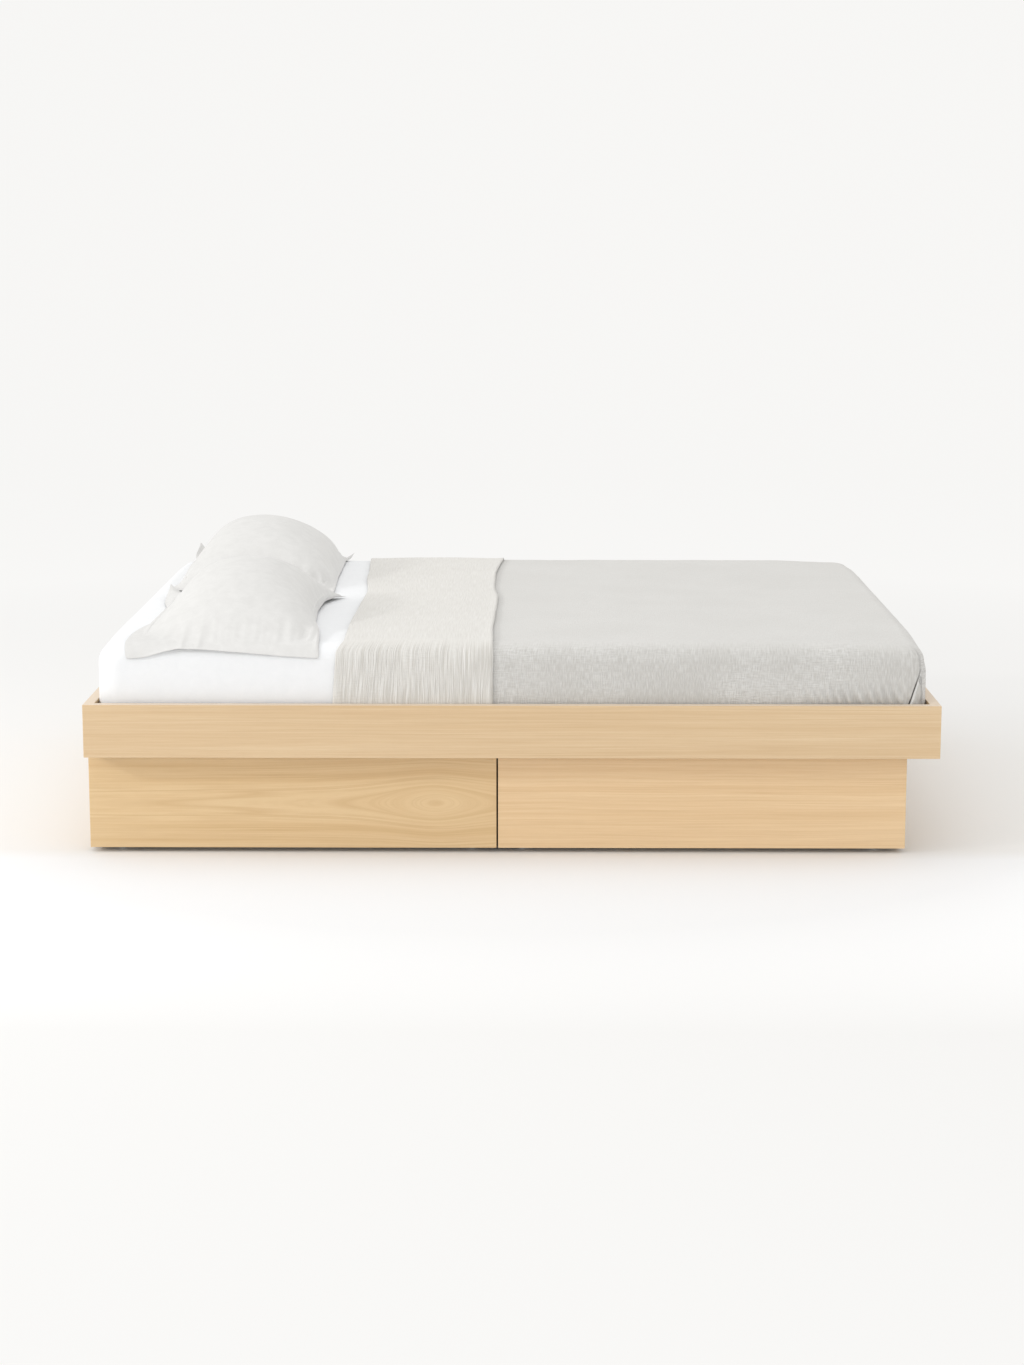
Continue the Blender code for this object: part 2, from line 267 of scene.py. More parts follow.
def oak(name, along, seed, waviness=0.010, eye=None, tint=(1.0, 1.0, 1.0)):
    """Oak veneer with its grain along X or Y.

    waviness is how far the growth lines wander, in metres. eye is the (length, height) place of a flat-sawn
    figure that the lines flow round, if the board has one.
    """
    g = Graph(name)
    parts = g.add("SeparateXYZ", {"Vector": g.add("TexCoord").outputs["Object"]}).outputs
    length, across = (parts["X"], parts["Y"]) if along == "X" else (parts["Y"], parts["X"])
    height = parts["Z"]
    board = g.add("CombineXYZ", {"X": length, "Y": across, "Z": height}).outputs[0]
    sway = g.noise(g.scaled(board, (1.4, 4.0, 4.0), (seed, 0.7 * seed, 0)), detail=2.0)
    ring = g.math("ADD", height, g.math("MULTIPLY", g.math("SUBTRACT", sway, 0.5), 2 * waviness))
    if eye:
        offset = g.math("DIVIDE", g.math("SUBTRACT", length, eye[0]), 0.13)
        spread = g.math("SQRT", g.math("ADD", g.math("MULTIPLY", offset, offset), 1.0))
        depth = g.math("DIVIDE", g.math("MULTIPLY", offset, 0.050), spread)
        over = g.math("SUBTRACT", ring, eye[1])
        squares = g.math("ADD", g.math("MULTIPLY", over, over), g.math("MULTIPLY", depth, depth))
        ring = g.math("SQRT", g.math("ADD", squares, 0.0002))
    flow = g.add("CombineXYZ", {"X": length, "Y": across, "Z": ring}).outputs[0]
    bands = g.noise(g.scaled(flow, (0.5, 60.0, 60.0), (seed, 0, 2.0)), detail=2.0)
    veins = g.noise(g.scaled(flow, (0.7, 95.0, 95.0), (2 * seed, 0, 9.0)), detail=2.0)
    veins = g.between(g.math("ABSOLUTE", g.math("SUBTRACT", veins, 0.5)), 0.0, 0.060, 1.0, 0.0)
    strength = g.noise(g.scaled(flow, (1.3, 22.0, 22.0), (0, seed, 5.0)), detail=1.0)
    veins = g.math("MULTIPLY", veins, g.between(strength, 0.42, 0.62))
    streaks = g.noise(g.scaled(flow, (4.0, 300.0, 330.0), (seed, 0, 0)), detail=3.0, roughness=0.65)
    fibres = g.noise(g.scaled(board, (24.0, 800.0, 900.0), (0, seed, 0)), detail=2.0, roughness=0.6)
    pores = g.noise(g.scaled(board, (55.0, 1200.0, 1400.0), (0, 0, seed)), detail=1.0)
    pores = g.between(pores, 0.62, 0.72)
    tone = g.mix(g.between(bands, 0.34, 0.66), OAK_LIGHT, OAK_MID)
    tone = g.mix(g.math("MULTIPLY", veins, 0.55 if eye else 0.32), tone, OAK_DARK)
    tone = g.mix(g.math("MULTIPLY", g.between(streaks, 0.42, 0.66), 0.36), tone, OAK_DARK)
    tone = g.mix(g.math("MULTIPLY", g.between(fibres, 0.35, 0.75), 0.12), tone, OAK_DARK)
    tone = g.mix(g.math("MULTIPLY", pores, 0.16), tone, OAK_DARK)
    tone = g.mix(1.0, tone, tint, "MULTIPLY")
    up = g.add("SeparateXYZ", {"Vector": g.add("NewGeometry").outputs["Normal"]}).outputs["Z"]
    # Painted sheen: up-facing faces turn paler and pinker, as if catching the light.
    tone = g.mix(g.math("MULTIPLY", g.between(up, 0.80, 0.95), 0.75), tone, UP_FACE_SHEEN)
    relief = g.math("ADD", g.math("MULTIPLY", fibres, 0.6), g.math("MULTIPLY", streaks, 0.4))
    relief = g.math("SUBTRACT", relief, g.math("MULTIPLY", pores, 0.5))
    rough = g.between(streaks, 0.2, 0.8, 0.48, 0.60)
    return g.finish(tone, rough, g.bump(relief, 0.25, 0.0006), Specular_IOR_Level=0.35)


def plain_wood(name, light, dark, along, coarse):
    """Sawn pine or birch plywood: soft streaks along the board."""
    g = Graph(name)
    place = g.add("TexCoord").outputs["Object"]
    slow, fast = 4.0, 90.0 / coarse
    sx, sy = (slow, fast) if along == "X" else (fast, slow)
    grain = g.noise(g.scaled(place, (sx, sy, fast)), detail=3.0, roughness=0.6, distortion=0.4)
    fine = g.noise(g.scaled(place, (sx * 6, sy * 6, fast * 6)), detail=2.0)
    tone = g.mix(g.between(grain, 0.35, 0.65), light, dark)
    tone = g.mix(g.math("MULTIPLY", g.between(fine, 0.4, 0.7), 0.2), tone, dark)
    return g.finish(tone, 0.6, g.bump(fine, 0.2, 0.0005), Specular_IOR_Level=0.3)


def zinc(name):
    """Zinc-plated steel with a faint spangle."""
    g = Graph(name)
    place = g.add("TexCoord").outputs["Object"]
    spangle = g.add("TexVoronoi", {"Vector": place}, {"Scale": 260.0}).outputs["Color"]
    grey = g.add("RGBToBW", {"Color": spangle}).outputs[0]
    rough = g.between(g.noise(place, 90.0, 3.0), 0.3, 0.7, 0.28, 0.42)
    tone = g.mix(g.between(grey, 0.2, 0.8), (0.53, 0.54, 0.55), (0.64, 0.64, 0.65))
    return g.finish(tone, rough, g.bump(grey, 0.08, 0.0003), Metallic=1.0)


def moulded(name, colour, roughness):
    """Moulded plastic or laminate with a fine grain."""
    g = Graph(name)
    place = g.add("TexCoord").outputs["Object"]
    grain = g.noise(place, 1400.0, 2.0)
    blush = g.between(g.noise(place, 60.0, 2.0), 0.3, 0.7, 0.94, 1.0)
    shade = g.add("CombineColor", {"Red": blush, "Green": blush, "Blue": blush}).outputs[0]
    tone = g.mix(1.0, colour, shade, "MULTIPLY")
    return g.finish(tone, roughness, g.bump(grain, 0.12, 0.0002))


def weave_height(g, cloth, pitch):
    """Over-and-under threads of a plain weave, from 0 to 1, on cloth coordinates in metres."""
    parts = g.add("SeparateXYZ", {"Vector": cloth}).outputs
    turn = math.pi / pitch
    warp = g.math("SINE", g.math("MULTIPLY", parts["X"], turn))
    weft = g.math("SINE", g.math("MULTIPLY", parts["Y"], turn))
    return g.between(g.math("MULTIPLY", warp, weft), -1.0, 1.0)


def flap_edge(g, tone):
    """The edge of the folded corner, painted into the colour: a pale line that is a painted highlight where
    the fold's edge catches the light, and a near-black painted shadow in the narrow gap beside it where the
    flap stands off.
    """
    place = g.add("SeparateXYZ", {"Vector": g.add("TexCoord").outputs["Object"]}).outputs
    height = g.math("SUBTRACT", place["Z"], RAIL_TOP)
    slant = g.math("MULTIPLY", height, FLAP_SLANT)
    over = g.math("SUBTRACT", g.math("SUBTRACT", place["X"], FLAP_X), slant)
    low = g.between(height, 0.045, 0.085, 1.0, 0.0)
    # Painted shadow: near-black in the narrow gap where the flap stands off.
    painted_slit_shadow = g.between(g.math("ABSOLUTE", g.math("ADD", over, 0.0016)), 0.0014, 0.0030, 1.0, 0.0)
    # Painted highlight: a pale line along the fold's edge, where it catches the light.
    hem = g.between(g.math("ABSOLUTE", g.math("SUBTRACT", over, 0.0026)), 0.0014, 0.0032, 1.0, 0.0)
    tone = g.mix(g.math("MULTIPLY", g.math("MULTIPLY", hem, low), 0.8), tone, (0.86, 0.85, 0.83))
    return g.mix(g.math("MULTIPLY", g.math("MULTIPLY", painted_slit_shadow, low), 0.95), tone, (0.06, 0.055, 0.05))


def muslin(name, colour, valley_shade, rib_length, rib_strength, cross_strength, folded=False):
    """Crinkled double gauze: ribs one way, weaker ones across, and an open weave.

    The crinkle is pulled nearly flat where the cloth lies flat. The valley colour is painted shade in the
    crinkle's valleys, and a little of it is mixed into the weave. Since the crinkle flattens where the cloth
    faces up, the sides come out darker than the top, which is also painted shade. folded adds the folded
    corner's edge, with its painted highlight and painted shadow.
    """
    g = Graph(name)
    cloth = g.add("UVMap", uv_map="cloth").outputs[0]
    bent = g.noise(g.scaled(cloth, (9.0, 7.0, 1.0)), detail=2.0)
    wander = g.math("MULTIPLY", g.math("SUBTRACT", bent, 0.5), 0.009)
    parts = g.add("SeparateXYZ", {"Vector": cloth}).outputs
    moved = g.add("CombineXYZ", {"X": g.math("ADD", parts["X"], wander), "Y": parts["Y"]}).outputs[0]
    ribs = g.noise(g.scaled(moved, (440.0, 1 / rib_length, 1.0)), detail=1.0)
    cross = g.noise(g.scaled(cloth, (40.0, 380.0, 1.0), (4.0, 7.0, 0)), detail=1.0)
    patch = g.between(g.noise(g.scaled(cloth, (4.0, 5.0, 1.0), (1.0, 2.0, 0)), detail=1.0), 0.35, 0.65)
    ribs = g.math("MULTIPLY", g.between(ribs, 0.30, 0.70), rib_strength)
    cross = g.math("MULTIPLY", g.between(cross, 0.30, 0.70), g.math("MULTIPLY", patch, cross_strength))
    crinkle = g.math("ADD", ribs, cross)
    threads = weave_height(g, cloth, 0.0011)
    up = g.add("SeparateXYZ", {"Vector": g.add("NewGeometry").outputs["Normal"]}).outputs["Z"]
    pulled = g.between(up, 0.55, 0.97, 1.0, 0.30)
    crinkle = g.math("MULTIPLY_ADD", g.math("SUBTRACT", crinkle, 0.6), pulled, 0.6)
    normal = g.bump(crinkle, 0.75, 0.0018)
    normal = g.bump(threads, 0.30, 0.0003, normal)
    # Painted shade: the valley colour in the crinkle's dips, stronger on the sides than on the up-facing
    # top.
    tone = g.mix(g.between(crinkle, 0.2, 0.9), valley_shade, colour)
    # Painted shade: a little of the valley colour over the weave.
    tone = g.mix(g.math("MULTIPLY", threads, 0.10), tone, valley_shade)
    if folded:
        # The flap edge's painted highlight and painted shadow.
        tone = flap_edge(g, tone)
    return g.finish(tone, 0.92, normal, Sheen_Weight=0.12, Sheen_Roughness=0.6, Specular_IOR_Level=0.15)


def cotton(name, colour, shade, pitch, crumple):
    """Plain-weave cotton or linen, with soft creases from washing, and painted shade where the small creases
    dip.
    """
    g = Graph(name)
    place = g.add("TexCoord").outputs["Object"]
    cloth = g.add("UVMap", uv_map="cloth").outputs[0]
    creases = g.noise(place, 9.0, 4.0, 0.55, 0.8)
    small = g.noise(place, 38.0, 4.0, 0.6, 0.5)
    slubs = g.noise(g.scaled(cloth, (30.0, 900.0, 1.0)), detail=2.0)
    threads = weave_height(g, cloth, pitch)
    height = g.math("ADD", creases, g.math("MULTIPLY", small, 0.35))
    normal = g.bump(height, crumple, 0.006)
    normal = g.bump(g.math("ADD", threads, slubs), 0.25, 0.00025, normal)
    # Painted shade: the shade colour where the small creases dip.
    tone = g.mix(g.between(small, 0.3, 0.7), shade, colour)
    tone = g.mix(g.math("MULTIPLY", g.between(slubs, 0.5, 0.8), 0.25), tone, shade)
    return g.finish(tone, 0.9, normal, Sheen_Weight=0.08, Sheen_Roughness=0.5, Specular_IOR_Level=0.18)


def dress_cad_nodes():
    """Gives every CAD node that stays in view its own material."""
    rail = oak("oak_rail", "X", 1.7, 0.004, tint=(0.915, 0.930, 0.950))
    rail_cross = oak("oak_rail_cross", "Y", 4.2, 0.004, tint=(0.915, 0.930, 0.950))
    base = oak("oak_base", "Y", 6.4)
    back = oak("oak_back", "X", 9.3, eye=(-0.35, 0.14))
    front_head = oak("oak_front_head", "X", 2.6, 0.008, (-0.185, 0.125), (0.962, 0.958, 0.893))
    front_foot = oak("oak_front_foot", "X", 7.9, 0.012, tint=(1.05, 1.05, 1.04))
    # Painted shadow: the divider between the drawers is made near-black, so that the gap between the drawer
    # fronts reads as deep shade.
    shadow_board = moulded("divider_painted_shadow", (0.030, 0.028, 0.026), 0.7)
    pine = plain_wood("pine_slats", (0.80, 0.66, 0.46), (0.70, 0.53, 0.33), "Y", 1.0)
    pine_long = plain_wood("pine_ledges", (0.80, 0.66, 0.46), (0.70, 0.53, 0.33), "X", 1.0)
    birch = plain_wood("birch_ply", (0.80, 0.69, 0.52), (0.72, 0.59, 0.42), "Y", 1.4)
    metal = zinc("zinc_plate")
    nylon = moulded("grey_nylon", (0.84, 0.84, 0.83), 0.42)
    black = moulded("black_glide", (0.05, 0.05, 0.05), 0.55)
    rules = (
        ("drawer_head_front", front_head),
        ("drawer_foot_front", front_foot),
        ("side_rail_front", rail),
        ("side_rail_back", rail),
        ("head_rail", rail_cross),
        ("foot_rail", rail_cross),
        ("base_back_panel", back),
        ("base_divider", shadow_board),
        ("base_", base),
        ("slat_ledge", pine_long),
        ("slat_", pine),
        ("centre_beam", metal),
        ("castor_fork", metal),
        ("castor_wheel", nylon),
        ("drawer_", birch),
    )
    for name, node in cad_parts.items():
        chosen = next((made for start, made in rules if name.startswith(start)), None)
        if chosen is None and "glide" in name:
            chosen = black
        if chosen:
            node.data.materials.clear()
            node.data.materials.append(chosen)


# ---------------------------------------------------------------- sheets over the mattress
def smooth_step(value, low, high):
    """0 at low, 1 at high and smooth between, for a number or an array."""
    share = np.clip((value - low) / (high - low), 0.0, 1.0)
    return share * share * (3 - 2 * share)


def through(points, at):
    """A smooth curve through (place, value) points, read at one place."""
    places = [p for p, _ in points]
    if at <= places[0]:
        return points[0][1]
    for (low, first), (high, second) in zip(points, points[1:]):
        if at <= high:
            return first + (second - first) * smooth_step(at, low, high)
    return points[-1][1]


def spaced(low, high, step):
    """Evenly spaced numbers from low to high, about a step apart."""
    count = max(1, round(abs(high - low) / step))
    return [low + (high - low) * k / count for k in range(count + 1)]


def top_height(x, y):
    """The mattress's top: a little crowned, lower towards the foot and at the foot's corners."""
    to_side = smooth_step(np.abs(y), 0.55, MATTRESS_HIGH.y)
    to_foot = smooth_step(x, -0.1, MATTRESS_HIGH.x)
    corner = smooth_step(x, 0.75, MATTRESS_HIGH.x) * smooth_step(np.abs(y), 0.45, MATTRESS_HIGH.y)
    return MATTRESS_HIGH.z + CROWN - SIDE_DROP * to_side - FOOT_DROP * to_foot - CORNER_DROP * corner


def plan_place(x, y):
    """A point of the top's grid moved to round its corners, and the outward direction at its edge."""
    inner_x = MATTRESS_HIGH.x - PLAN_ROUND
    inner_y = MATTRESS_HIGH.y - PLAN_ROUND
    bend = PLAN_ROUND - TOP_ROUND
    side_x, side_y = math.copysign(1, x), math.copysign(1, y)
    a = max(0.0, (abs(x) - inner_x) / bend)
    b = max(0.0, (abs(y) - inner_y) / bend)
    if a <= 0 or b <= 0:
        out = Vector((side_x, 0, 0)) if a >= 1 - 1e-6 else Vector((0, side_y, 0))
        return Vector((x, y, 0)), out
    a, b = min(a, 1.0), min(b, 1.0)
    round_a = a * math.sqrt(1 - b * b / 2)
    round_b = b * math.sqrt(1 - a * a / 2)
    place = Vector((side_x * (inner_x + bend * round_a), side_y * (inner_y + bend * round_b), 0))
    return place, Vector((side_x * round_a, side_y * round_b, 0)).normalized()


def skirt_profile(drop):
    """How far out and down a skirt is after that much cloth from the top's edge, and its outward tilt."""
    quarter = TOP_ROUND * math.pi / 2
    if drop < quarter:
        turn = drop / TOP_ROUND
        return TOP_ROUND * math.sin(turn), -TOP_ROUND * (1 - math.cos(turn)), turn
    return TOP_ROUND, -TOP_ROUND - (drop - quarter), math.pi / 2


def cover(name, columns, rows, drops, lift, around_head, materials):
    """A sheet over the mattress: a grid on top and a skirt hanging from its edge.

    columns are (place along the cloth, function that gives x at a y and a drop, layer). rows are y places.
    drops are lengths of cloth down the skirt. lift(place, layer, out, tilt) is how far a point stands off
    the mattress. around_head closes the skirt round the head end.
    """
    verts, cloth = [], []
    top_index = {}

    def put(place, out, tilt, along, across, layer):
        normal = Vector((out.x * math.sin(tilt), out.y * math.sin(tilt), math.cos(tilt)))
        verts.append(place + normal * lift(place, layer, out, tilt))
        cloth.append((along, across))
        return len(verts) - 1

    for k, (along, x_of, layer) in enumerate(columns):
        for j, y in enumerate(rows):
            place, out = plan_place(x_of(y, 0.0), y)
            place.z = top_height(place.x, place.y)
            top_index[k, j] = put(place, out, 0.0, along, y, layer)
    last_k, last_j = len(columns) - 1, len(rows) - 1
    walk = [(k, 0) for k in range(last_k + 1)]
    walk += [(last_k, j) for j in range(1, last_j + 1)]
    walk += [(k, last_j) for k in range(last_k - 1, -1, -1)]
    if around_head:
        walk += [(0, j) for j in range(last_j - 1, 0, -1)]
    faces = []
    for k in range(last_k):
        for j in range(last_j):
            cell = ((k, j), (k + 1, j), (k + 1, j + 1), (k, j + 1))
            faces.append(tuple(top_index[key] for key in cell))
    strip = [[top_index[key] for key in walk]]
    for drop in drops[1:]:
        ring = []
        for k, j in walk:
            along, x_of, layer = columns[k]
            on_end = k in (0, last_k) and 0 < j < last_j
            if k == 0 and not around_head:
                on_end = False
            x = x_of(rows[j], drop)
            edge, out = plan_place(x, rows[j])
            if on_end and abs(out.y) > abs(out.x) and abs(rows[j]) < MATTRESS_HIGH.y - PLAN_ROUND:
                out = Vector((math.copysign(1, x), 0, 0))
            far, down, tilt = skirt_profile(drop)
            place = edge + out * far
            place.z = top_height(edge.x, edge.y) + down
            across = rows[j] + math.copysign(drop, rows[j]) * (0 if on_end else 1)
            ahead = along + (drop if on_end else 0)
            ring.append(put(place, out, tilt, ahead, across, layer))
        strip.append(ring)
    count = len(walk)
    for upper, lower in zip(strip, strip[1:]):
        for n in range(count if around_head else count - 1):
            after = (n + 1) % count
            faces.append((upper[n], lower[n], lower[after], upper[after]))
    return cloth_object(name, verts, faces, cloth, materials)


def cloth_object(name, verts, faces, cloth, materials):
    """A mesh object with its flat cloth coordinates, in metres, as a UV layer."""
    mesh = bpy.data.meshes.new(name)
    mesh.from_pydata([tuple(v) for v in verts], [], faces)
    layer = mesh.uv_layers.new(name="cloth")
    for loop in mesh.loops:
        layer.data[loop.index].uv = cloth[loop.vertex_index]
    mesh.shade_smooth()
    for made in materials:
        mesh.materials.append(made)
    obj = bpy.data.objects.new(name, mesh)
    bpy.context.scene.collection.objects.link(obj)
    return obj


def thicken(obj, thickness, reverse_slot=0):
    """Gives a sheet its thickness. Its reverse takes the material that many slots on."""
    solid = obj.modifiers.new("cloth", "SOLIDIFY")
    solid.thickness = thickness
    solid.offset = 0.0
    solid.use_even_offset = True
    solid.material_offset = reverse_slot
    solid.material_offset_rim = 0


def edge_drops(length, fine, coarse):
    """Places down a skirt: close together round the top edge, then wider apart."""
    quarter = TOP_ROUND * math.pi / 2
    return spaced(0, quarter, fine) + spaced(quarter, length, coarse)[1:]


def close_at_ends(reach, band, fine, coarse):
    """Places from -reach to reach, close together within a band at each end."""
    ends = spaced(-reach, -reach + band, fine)
    return ends + spaced(-reach + band, reach - band, coarse)[1:-1] + [-place for place in reversed(ends)]


def straight(x, y, drop):
    """A column of the grid that keeps its x all the way across and down."""
    return x


def make_fitted_sheet():
    """The white sheet, drawn tight over the mattress and tucked down inside the rails."""
    columns = [(x, partial(straight, x), None) for x in close_at_ends(REACH_X, 0.05, 0.006, 0.024)]
    rows = close_at_ends(REACH_Y, 0.05, 0.006, 0.024)

    def lift(place, layer, out, tilt):
        wave = noise.noise(place * 3.1) * 0.0012 + noise.noise(place * 9.0 + Vector((4, 0, 0))) * 0.0005
        low = smooth_step(RAIL_TOP + 0.06 - place.z, 0.0, 0.05) * math.sin(tilt)
        pucker = noise.noise(Vector((place.x * 28, place.y * 28, place.z * 6))) * 0.0012 * low
        corner = abs(out.x * out.y) * 2 * math.sin(tilt)
        gather = math.sin(90 * math.atan2(out.y, out.x)) * 0.0012 * corner * low
        bulge = HEAD_BULGE * max(0.0, -out.x) * math.sin(tilt) * (1 - smooth_step(place.z, 0.472, 0.505))
        return SHEET_RISE + wave * (1 - 0.6 * math.sin(tilt)) + pucker + gather + bulge

    drops = edge_drops(SKIRT, 0.006, 0.010)
    # The second colour is the painted shade in the sheet's creases.
    white = cotton("sheet_cotton", (0.838, 0.846, 0.856), (0.814, 0.823, 0.834), 0.0007, 0.14)
    sheet = cover("fitted_sheet", columns, rows, drops, lift, True, [white])
    thicken(sheet, SHEET_THICKNESS)
    return sheet


def in_fold(share, back, y, drop):
    """x at a share of the way from the fold to the free edge, moved back, at each y and down the skirt."""
    across = y + math.copysign(drop, y)
    low = through(FOLD_LINE, across) - 0.08 * max(0.0, drop - 0.05)
    high = through(FREE_EDGE, across)
    return low + (high - low) * share + back


def below_fold(share, y, drop):
    """x at a share of the way from the fold to where the gathers start."""
    return in_fold(0.0, 0.0, y, drop) * (1 - share) + GATHERS_FROM * share


def blanket_columns():
    """The blanket's grid along the bed: the part folded back, the roll, the main part and its finer foot."""
    columns = []
    for share in reversed(spaced(0.0, 1.0, 0.008 / FOLD_WIDTH)[1:]):
        columns.append((-share * FOLD_WIDTH, partial(in_fold, share, 0.0), ("fold", share)))
    for step in range(ROLL_PARTS + 1):
        turn = math.pi * step / ROLL_PARTS
        columns.append((0.0, partial(in_fold, 0.0, -math.sin(turn) * ROLL), ("roll", turn)))
    run = GATHERS_FROM - FOLD_X
    for share in spaced(0.0, 1.0, 0.0095 / run)[1:]:
        columns.append((share * run, partial(below_fold, share), ("main", share)))
    foot = spaced(GATHERS_FROM, CORNER_FROM, 0.0042) + spaced(CORNER_FROM, REACH_X, 0.0007)[1:]
    for x in foot[1:]:
        columns.append((x - FOLD_X, partial(straight, x), ("main", 1.0)))
    return columns


def make_blanket():
    """The grey muslin blanket, with its head end folded back to show the cream reverse."""
    side = spaced(-REACH_Y, -REACH_Y + 0.02, 0.0025) + spaced(-REACH_Y + 0.02, -REACH_Y + 0.04, 0.007)[1:]
    middle = spaced(-REACH_Y + 0.04, REACH_Y - 0.04, 0.0135)[1:-1]
    rows = side + middle + [-y for y in reversed(side)]

    def lift(place, layer, out, tilt):
        kind, share = layer
        on_side = math.sin(tilt)
        swell = noise.noise(Vector((place.x * 2.3, place.y * 2.0, 1.0))) * 0.0022
        ripple = noise.noise(Vector((place.x * 9.0, place.y * 6.5, place.z * 6.5))) * 0.0012
        ripple += noise.noise(Vector((place.x * 26.0, place.y * 22.0, place.z * 20.0))) * 0.0005
        rise = BLANKET_RISE + (swell * (1 - on_side) + ripple + 0.0012) * (1 - 0.5 * on_side)
        if kind == "fold":
            puff = math.sin(math.pi * min(1.0, share)) * 0.0022 * (1 - 0.5 * on_side)
            curl = smooth_step(share, 0.93, 1.0) * 0.0018 * (1 + noise.noise(place * 7.0))
            rise += 2 * ROLL + puff + curl * (1 - 0.6 * on_side)
        elif kind == "roll":
            rise += ROLL * (1 + math.cos(share))
        return rise + gathers(place, on_side) + corner_fold(place, on_side)

    drops = edge_drops(MATTRESS_HIGH.z - BLANKET_LOW_Z, 0.006, 0.0045)
    # Each muslin's second colour is the painted shade for its crinkle's valleys.
    grey = muslin("muslin_grey", (0.695, 0.688, 0.669), (0.545, 0.533, 0.507), 0.020, 0.60, 0.55, True)
    cream = muslin("muslin_cream", (0.780, 0.768, 0.740), (0.600, 0.580, 0.540), 0.085, 0.90, 0.20)
    blanket = cover("muslin_blanket", blanket_columns(), rows, drops, lift, False, [grey, cream])
    thicken(blanket, MUSLIN, 1)
    return blanket


def gathers(place, on_side):
    """Puckers above the rail near the foot, where the blanket is pulled in."""
    if on_side < 0.9:
        return 0.0
    near_foot = smooth_step(place.x, GATHERS_FROM, 0.80) * (1 - 0.75 * smooth_step(place.x, 0.93, 0.96))
    height = place.z - RAIL_TOP
    low = (0.35 + 0.65 * smooth_step(height, -0.002, 0.010)) * (1 - smooth_step(height, 0.014, 0.060))
    lean = place.x + 0.35 * height + 0.012 * noise.noise(Vector((place.x * 14, 0.3, 0)))
    ridge = 0.5 + 0.5 * math.sin(2 * math.pi * lean / GATHER_PITCH)
    faint = 0.0007 * math.sin(2 * math.pi * (place.x + 0.01 * noise.noise(place * 12)) / 0.031)
    return near_foot * low * GATHER_DEPTH * ridge**1.8 + faint * low


def corner_fold(place, on_side):
    """The foot end's cloth folded over the side's at each corner: a raised layer with a slanting edge."""
    if on_side < 0.9:
        return 0.0
    height = place.z - RAIL_TOP
    over = place.x - FLAP_X - FLAP_SLANT * height
    fade = 1 - smooth_step(height, 0.070, 0.100)
    raised = smooth_step(over, -0.0006, 0.0012) * FLAP_RAISED
    groove = -FLAP_GROOVE * math.exp(-(((over + 0.0018) / 0.0018) ** 2))
    return (raised + groove) * fade


def make_mattress():
    """The mattress itself: a crowned block with rounded edges, under its fitted sheet."""
    columns = [(x, partial(straight, x), None) for x in spaced(-REACH_X, REACH_X, 0.03)]
    # The second colour is the painted shade in the ticking's creases.
    ticking = cotton("mattress_ticking", (0.80, 0.79, 0.76), (0.72, 0.71, 0.68), 0.0012, 0.25)
    rows = spaced(-REACH_Y, REACH_Y, 0.03)
    drops = edge_drops(SKIRT - 0.004, 0.008, 0.02)

    def lift(place, layer, out, tilt):
        piping = 0.0012 * math.exp(-(((place.z - MATTRESS_LOW.z - 0.02) / 0.004) ** 2))
        return piping * math.sin(tilt) - 0.0012

    block = cover("mattress_block", columns, rows, drops, lift, True, [ticking])
    shape = bmesh.new()
    shape.from_mesh(block.data)
    rim = [edge for edge in shape.edges if edge.is_boundary]
    bmesh.ops.holes_fill(shape, edges=rim, sides=0)
    shape.to_mesh(block.data)
    shape.free()
    return block


